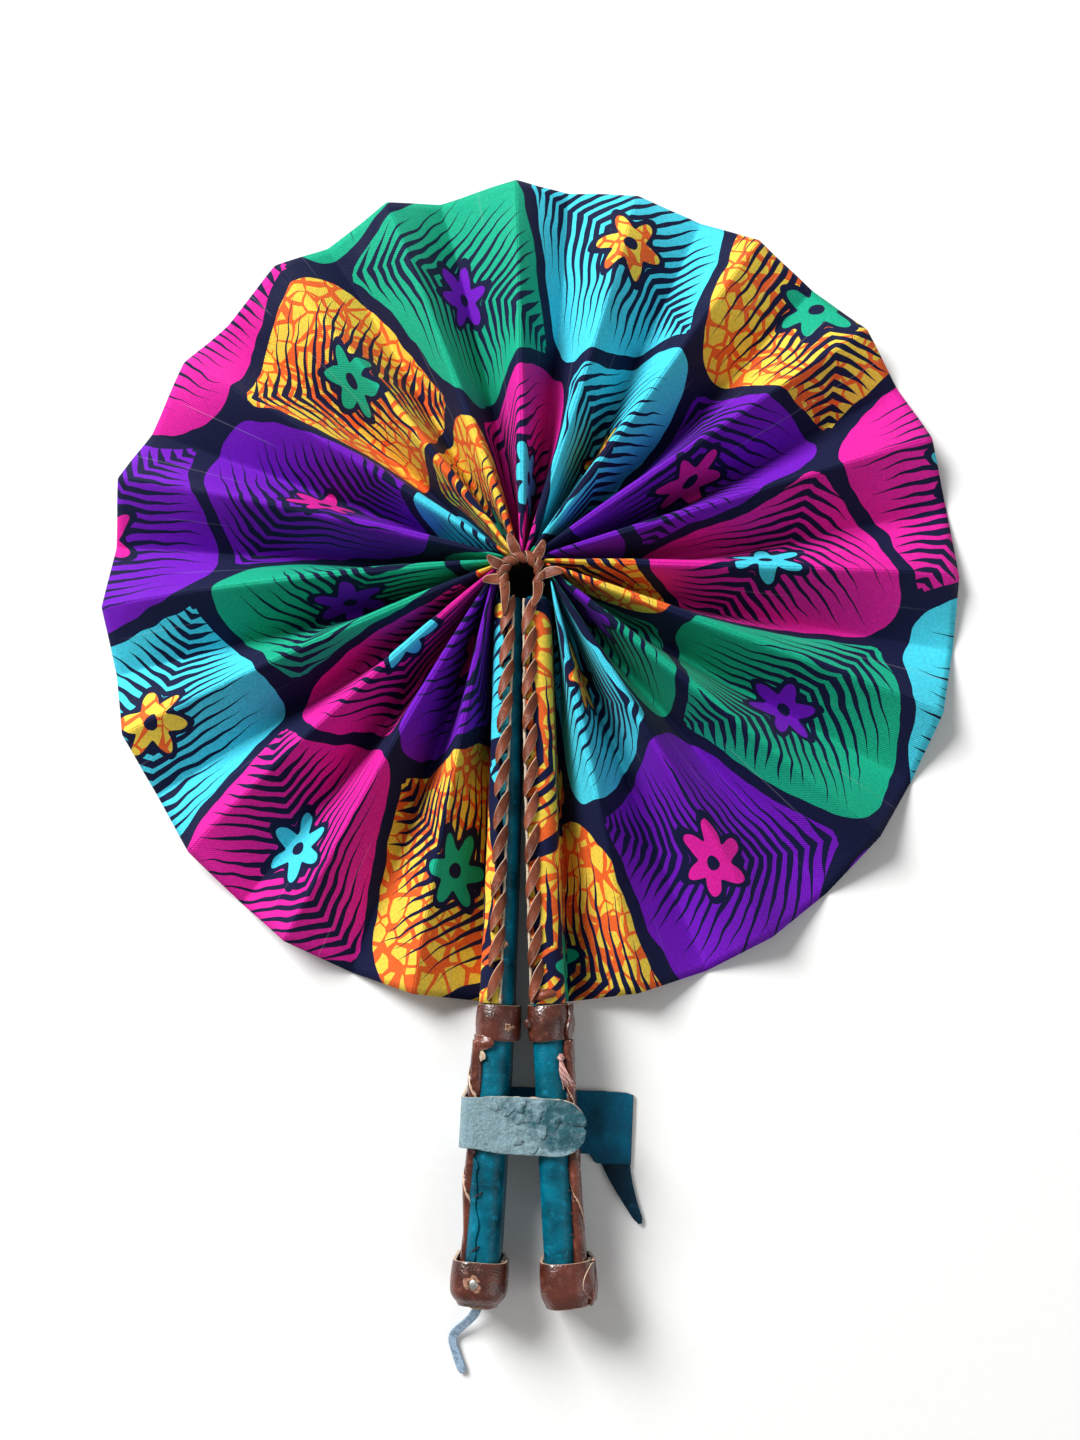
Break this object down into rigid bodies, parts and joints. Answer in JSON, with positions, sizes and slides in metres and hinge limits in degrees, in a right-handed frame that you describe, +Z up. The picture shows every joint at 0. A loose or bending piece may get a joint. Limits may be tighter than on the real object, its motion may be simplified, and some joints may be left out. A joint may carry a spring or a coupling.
{
  "type": "folding hand fan",
  "caption": "Folding hand fan: a pleated printed cotton leaf that opens to a full disc between two leather-covered sticks with laced edges, end caps and a strap.",
  "frame": {"origin": "middle of the opened fan's box, on the table that it lies on", "axes": "+Z up from the table towards the viewer, +Y from the grips towards the top of the leaf, +X to the right with the grips towards the viewer"},
  "size_m": [0.2998, 0.4144, 0.0275],
  "materials": {
    "leaf_cotton": "printed cotton, pressed into pleats",
    "teal_leather": "dyed smooth leather",
    "brown_leather": "thin brown leather lace and bands",
    "raw_leather": "cut edge of undyed leather",
    "strap_leather": "dyed leather, grain side",
    "strap_suede": "flesh side of the strap, pale suede",
    "thong_leather": "pale leather strip",
    "stick_wood": "plain split wood",
    "nail_steel": "dull nail steel",
    "pink_thread": "sewing thread, knotted"
  },
  "bodies": {
    "left_handle": {"left_stick": "stick_wood", "left_wrap": "teal_leather", "left_end_cap": "brown_leather", "left_collar": "brown_leather", "left_piping": "brown_leather", "left_welt": "raw_leather", "left_lacing": "brown_leather", "leaf_end_left": "leaf_cotton", "left_cap_nail": "nail_steel", "left_thong": "thong_leather", "strap_back": "strap_leather", "strap_bend": "strap_suede", "strap_rivet": "nail_steel", "hub_lace": "brown_leather"},
    "pleat_01": {"pleat_01": "leaf_cotton"},
    "pleat_02": {"pleat_02": "leaf_cotton"},
    "pleat_03": {"pleat_03": "leaf_cotton"},
    "pleat_04": {"pleat_04": "leaf_cotton"},
    "pleat_05": {"pleat_05": "leaf_cotton"},
    "pleat_06": {"pleat_06": "leaf_cotton"},
    "pleat_07": {"pleat_07": "leaf_cotton"},
    "pleat_08": {"pleat_08": "leaf_cotton"},
    "pleat_09": {"pleat_09": "leaf_cotton"},
    "pleat_10": {"pleat_10": "leaf_cotton"},
    "pleat_11": {"pleat_11": "leaf_cotton"},
    "pleat_12": {"pleat_12": "leaf_cotton"},
    "pleat_13": {"pleat_13": "leaf_cotton"},
    "pleat_14": {"pleat_14": "leaf_cotton"},
    "pleat_15": {"pleat_15": "leaf_cotton"},
    "pleat_16": {"pleat_16": "leaf_cotton"},
    "pleat_17": {"pleat_17": "leaf_cotton"},
    "pleat_18": {"pleat_18": "leaf_cotton"},
    "pleat_19": {"pleat_19": "leaf_cotton"},
    "right_handle": {"right_stick": "stick_wood", "right_wrap": "teal_leather", "right_end_cap": "brown_leather", "right_collar": "brown_leather", "right_piping": "brown_leather", "right_welt": "raw_leather", "right_lacing": "brown_leather", "leaf_end_right": "leaf_cotton", "right_collar_tab": "brown_leather", "right_collar_knob": "brown_leather", "right_cap_tab": "brown_leather", "right_thread_knot": "pink_thread"},
    "strap_flap": {"strap_flap": "strap_suede"},
    "strap_tail": {"strap_tail": "strap_leather"}
  },
  "joints": [
    {"name": "fold_01", "type": "hinge", "parent": "left_handle", "child": "pleat_01", "pos_m": [-0.00997, 0.04822, 0.012], "axis": [0, 0, 1], "range_deg": [0, 9.38], "deforming": ["pleat_01", "hub_lace"]},
    {"name": "fold_02", "type": "hinge", "parent": "pleat_01", "child": "pleat_02", "pos_m": [-0.01112, 0.0506, 0.012], "axis": [0, 0, 1], "range_deg": [0, 18.75], "deforming": ["pleat_02"]},
    {"name": "fold_03", "type": "hinge", "parent": "pleat_02", "child": "pleat_03", "pos_m": [-0.01172, 0.05318, 0.012], "axis": [0, 0, 1], "range_deg": [0, 18.75], "deforming": ["pleat_03"]},
    {"name": "fold_04", "type": "hinge", "parent": "pleat_03", "child": "pleat_04", "pos_m": [-0.01172, 0.05582, 0.012], "axis": [0, 0, 1], "range_deg": [0, 18.75], "deforming": ["pleat_04"]},
    {"name": "fold_05", "type": "hinge", "parent": "pleat_04", "child": "pleat_05", "pos_m": [-0.01114, 0.0584, 0.012], "axis": [0, 0, 1], "range_deg": [0, 18.75], "deforming": ["pleat_05"]},
    {"name": "fold_06", "type": "hinge", "parent": "pleat_05", "child": "pleat_06", "pos_m": [-0.01, 0.06079, 0.012], "axis": [0, 0, 1], "range_deg": [0, 18.75], "deforming": ["pleat_06"]},
    {"name": "fold_07", "type": "hinge", "parent": "pleat_06", "child": "pleat_07", "pos_m": [-0.00835, 0.06285, 0.012], "axis": [0, 0, 1], "range_deg": [0, 18.75], "deforming": ["pleat_07"]},
    {"name": "fold_08", "type": "hinge", "parent": "pleat_07", "child": "pleat_08", "pos_m": [-0.00628, 0.06451, 0.012], "axis": [0, 0, 1], "range_deg": [0, 18.75], "deforming": ["pleat_08"]},
    {"name": "fold_09", "type": "hinge", "parent": "pleat_08", "child": "pleat_09", "pos_m": [-0.0039, 0.06565, 0.012], "axis": [0, 0, 1], "range_deg": [0, 18.75], "deforming": ["pleat_09"]},
    {"name": "fold_10", "type": "hinge", "parent": "pleat_09", "child": "pleat_10", "pos_m": [-0.00132, 0.06624, 0.012], "axis": [0, 0, 1], "range_deg": [0, 18.75], "deforming": ["pleat_10"]},
    {"name": "fold_11", "type": "hinge", "parent": "pleat_10", "child": "pleat_11", "pos_m": [0.00132, 0.06624, 0.012], "axis": [0, 0, 1], "range_deg": [0, 18.75], "deforming": ["pleat_11"]},
    {"name": "fold_12", "type": "hinge", "parent": "pleat_11", "child": "pleat_12", "pos_m": [0.0039, 0.06565, 0.012], "axis": [0, 0, 1], "range_deg": [0, 18.75], "deforming": ["pleat_12"]},
    {"name": "fold_13", "type": "hinge", "parent": "pleat_12", "child": "pleat_13", "pos_m": [0.00628, 0.06451, 0.012], "axis": [0, 0, 1], "range_deg": [0, 18.75], "deforming": ["pleat_13"]},
    {"name": "fold_14", "type": "hinge", "parent": "pleat_13", "child": "pleat_14", "pos_m": [0.00835, 0.06285, 0.012], "axis": [0, 0, 1], "range_deg": [0, 18.75], "deforming": ["pleat_14"]},
    {"name": "fold_15", "type": "hinge", "parent": "pleat_14", "child": "pleat_15", "pos_m": [0.01, 0.06079, 0.012], "axis": [0, 0, 1], "range_deg": [0, 18.75], "deforming": ["pleat_15"]},
    {"name": "fold_16", "type": "hinge", "parent": "pleat_15", "child": "pleat_16", "pos_m": [0.01114, 0.0584, 0.012], "axis": [0, 0, 1], "range_deg": [0, 18.75], "deforming": ["pleat_16"]},
    {"name": "fold_17", "type": "hinge", "parent": "pleat_16", "child": "pleat_17", "pos_m": [0.01172, 0.05582, 0.012], "axis": [0, 0, 1], "range_deg": [0, 18.75], "deforming": ["pleat_17"]},
    {"name": "fold_18", "type": "hinge", "parent": "pleat_17", "child": "pleat_18", "pos_m": [0.01172, 0.05318, 0.012], "axis": [0, 0, 1], "range_deg": [0, 18.75], "deforming": ["pleat_18"]},
    {"name": "fold_19", "type": "hinge", "parent": "pleat_18", "child": "pleat_19", "pos_m": [0.01112, 0.0506, 0.012], "axis": [0, 0, 1], "range_deg": [0, 18.75], "deforming": ["pleat_19"]},
    {"name": "fold_20", "type": "hinge", "parent": "pleat_19", "child": "right_handle", "pos_m": [0.00997, 0.04822, 0.012], "axis": [0, 0, 1], "range_deg": [0, 9.38]},
    {"name": "strap_flap_lift", "type": "hinge", "parent": "left_handle", "child": "strap_flap", "pos_m": [-0.01642, -0.12526, 0.02335], "axis": [-0.0489, -0.9988, 0], "range_deg": [0, 150]},
    {"name": "strap_tail_lift", "type": "hinge", "parent": "left_handle", "child": "strap_tail", "pos_m": [0.03492, -0.14094, 0.00145], "axis": [-0.9988, 0.0489, 0], "range_deg": [0, 110]}
  ],
  "couplings": [
    {"joint": "fold_02", "follows": "fold_01", "ratio": 2},
    {"joint": "fold_03", "follows": "fold_01", "ratio": 2},
    {"joint": "fold_04", "follows": "fold_01", "ratio": 2},
    {"joint": "fold_05", "follows": "fold_01", "ratio": 2},
    {"joint": "fold_06", "follows": "fold_01", "ratio": 2},
    {"joint": "fold_07", "follows": "fold_01", "ratio": 2},
    {"joint": "fold_08", "follows": "fold_01", "ratio": 2},
    {"joint": "fold_09", "follows": "fold_01", "ratio": 2},
    {"joint": "fold_10", "follows": "fold_01", "ratio": 2},
    {"joint": "fold_11", "follows": "fold_01", "ratio": 2},
    {"joint": "fold_12", "follows": "fold_01", "ratio": 2},
    {"joint": "fold_13", "follows": "fold_01", "ratio": 2},
    {"joint": "fold_14", "follows": "fold_01", "ratio": 2},
    {"joint": "fold_15", "follows": "fold_01", "ratio": 2},
    {"joint": "fold_16", "follows": "fold_01", "ratio": 2},
    {"joint": "fold_17", "follows": "fold_01", "ratio": 2},
    {"joint": "fold_18", "follows": "fold_01", "ratio": 2},
    {"joint": "fold_19", "follows": "fold_01", "ratio": 2},
    {"joint": "fold_20", "follows": "fold_01", "ratio": 1}
  ]
}
